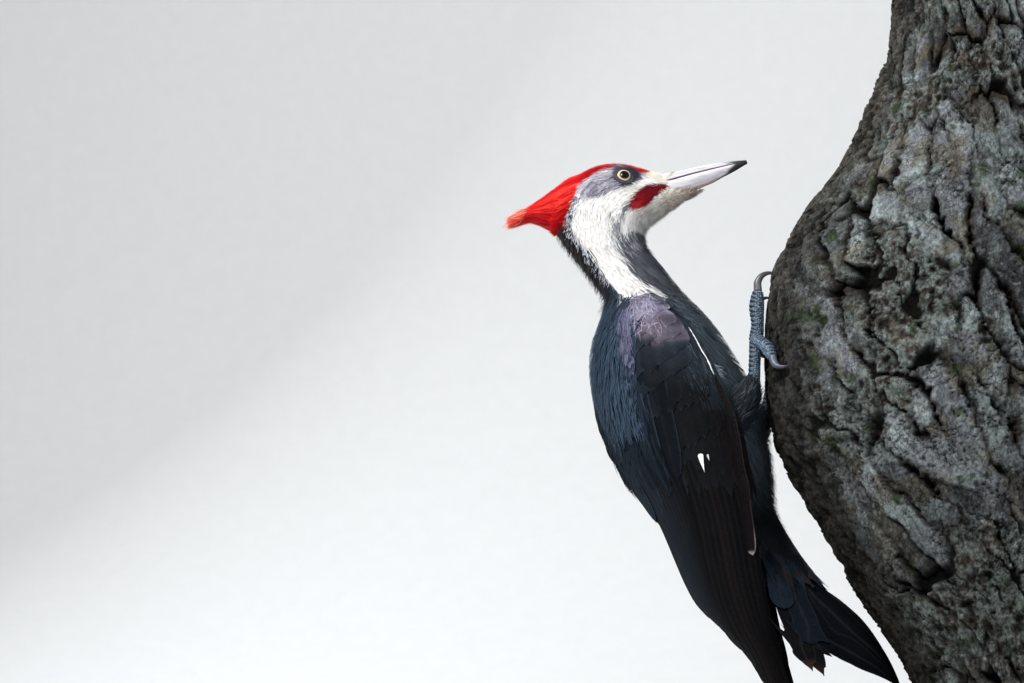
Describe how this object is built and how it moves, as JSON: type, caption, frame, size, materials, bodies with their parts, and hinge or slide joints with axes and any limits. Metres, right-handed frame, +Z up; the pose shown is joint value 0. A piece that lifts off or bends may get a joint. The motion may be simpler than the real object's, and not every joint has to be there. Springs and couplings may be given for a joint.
{
  "type": "model of a pileated woodpecker",
  "caption": "Life-size still model of a male pileated woodpecker clinging to a short cut length of tree trunk, held by two rods above a flat base.",
  "frame": {"origin": "centre of the underside of the stand's base, on the surface it rests on", "axes": "+Z up, the bird's back faces -X and its belly and the wood are at +X, its right side faces -Y, the bird's plane of symmetry is y = 0"},
  "size_m": [0.4164, 0.2, 0.516],
  "materials": {
    "plumage_black": "feathers, sooty black with a slate sheen, browner on the flight feathers",
    "plumage_white": "short soft feathers, white on the cheek and neck stripe, with a slate mask and nape",
    "plumage_red": "bright red crown, crest and moustache feathers",
    "bill": "silver-grey horn, darker at the tip and ridge",
    "eye": "clear cornea over a pale yellow iris and black pupil",
    "leg": "bluish-grey scaled skin",
    "claw": "dark horn",
    "bark": "rough furrowed grey bark with lichen",
    "stand_wood": "dark stained wood, satin",
    "stand_steel": "brushed steel"
  },
  "bodies": {
    "root": {"head": "plumage_white", "crest": "plumage_red", "neck": "plumage_black", "body": "plumage_black", "bill_upper": "bill", "bill_lower": "bill", "eye_right": "eye", "eye_left": "eye", "wing_right": "plumage_black", "wing_left": "plumage_black", "tail": "plumage_black", "thigh_right": "plumage_black", "thigh_left": "plumage_black", "leg_right": "leg", "claw_right_inner": "claw", "claw_right_front": "claw", "claw_right_outer": "claw", "claw_right_hind": "claw", "leg_left": "leg", "claw_left_inner": "claw", "claw_left_front": "claw", "claw_left_outer": "claw", "claw_left_hind": "claw", "perch_log": "bark", "stand_base": "stand_wood", "stand_rod_front": "stand_steel", "stand_rod_rear": "stand_steel"}
  },
  "joints": []
}
